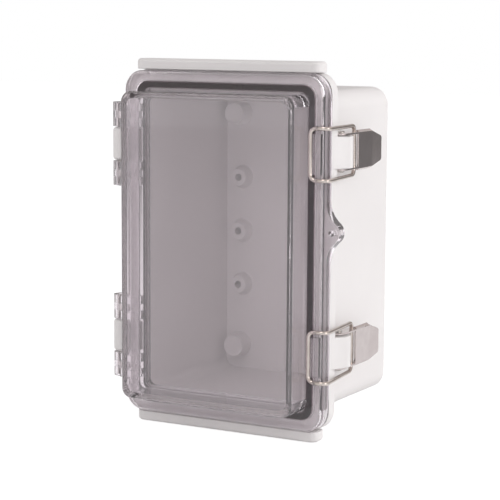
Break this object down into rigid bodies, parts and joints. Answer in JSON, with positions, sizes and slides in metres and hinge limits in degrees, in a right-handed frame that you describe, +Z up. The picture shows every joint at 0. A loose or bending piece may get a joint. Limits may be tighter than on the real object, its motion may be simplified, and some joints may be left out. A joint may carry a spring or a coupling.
{
  "type": "hinged polycarbonate enclosure",
  "caption": "Wall-mounted plastic box with a clear raised lid on side hinges, closed by steel wire draw latches, with screw bosses inside.",
  "frame": {"origin": "on the flat rear face that lies against the wall, level with the middle of the lid", "axes": "+Y out of the rear face into the wall, +Z up along the box's height, +X to the right as seen from the front; the lid faces -Y"},
  "size_m": [0.1125, 0.0938, 0.16],
  "materials": {
    "body_plastic": "fine moulded grain, light warm grey",
    "clear_plastic": "polished clear polycarbonate",
    "seal_rubber": "dark foamed rubber",
    "pin_steel": "drawn stainless rod",
    "lever_steel": "polished stainless sheet",
    "wire_steel": "bright stainless wire"
  },
  "bodies": {
    "base": {"body": "body_plastic", "hinge_pin_upper": "pin_steel", "hinge_pin_lower": "pin_steel", "latch_pin_upper": "pin_steel", "latch_pin_lower": "pin_steel"},
    "lid": {"lid": "clear_plastic", "gasket": "seal_rubber"},
    "lever_upper": {"latch_lever_upper": "lever_steel"},
    "lever_lower": {"latch_lever_lower": "lever_steel"},
    "bail_upper": {"latch_bail_upper": "wire_steel"},
    "bail_lower": {"latch_bail_lower": "wire_steel"}
  },
  "joints": [
    {"name": "lid_hinge", "type": "hinge", "parent": "base", "child": "lid", "pos_m": [-0.0533, -0.074, 0], "axis": [0, 0, -1], "range_deg": [0, 110]},
    {"name": "lever_upper_pivot", "type": "hinge", "parent": "base", "child": "lever_upper", "pos_m": [0.0475, -0.0606, 0.0423], "axis": [0, 0, -1], "range_deg": [0, 130]},
    {"name": "lever_lower_pivot", "type": "hinge", "parent": "base", "child": "lever_lower", "pos_m": [0.0475, -0.0606, -0.0423], "axis": [0, 0, -1], "range_deg": [0, 130]},
    {"name": "bail_upper_pivot", "type": "hinge", "parent": "lever_upper", "child": "bail_upper", "pos_m": [0.0485, -0.04955, 0.0423], "axis": [0, 0, 1], "range_deg": [0, 190]},
    {"name": "bail_lower_pivot", "type": "hinge", "parent": "lever_lower", "child": "bail_lower", "pos_m": [0.0485, -0.04955, -0.0423], "axis": [0, 0, 1], "range_deg": [0, 190]}
  ],
  "couplings": [
    {"joint": "lever_upper_pivot", "follows": "lid_hinge", "ratio": 1.18},
    {"joint": "lever_lower_pivot", "follows": "lid_hinge", "ratio": 1.18},
    {"joint": "bail_upper_pivot", "follows": "lid_hinge", "ratio": 1.72},
    {"joint": "bail_lower_pivot", "follows": "lid_hinge", "ratio": 1.72}
  ]
}
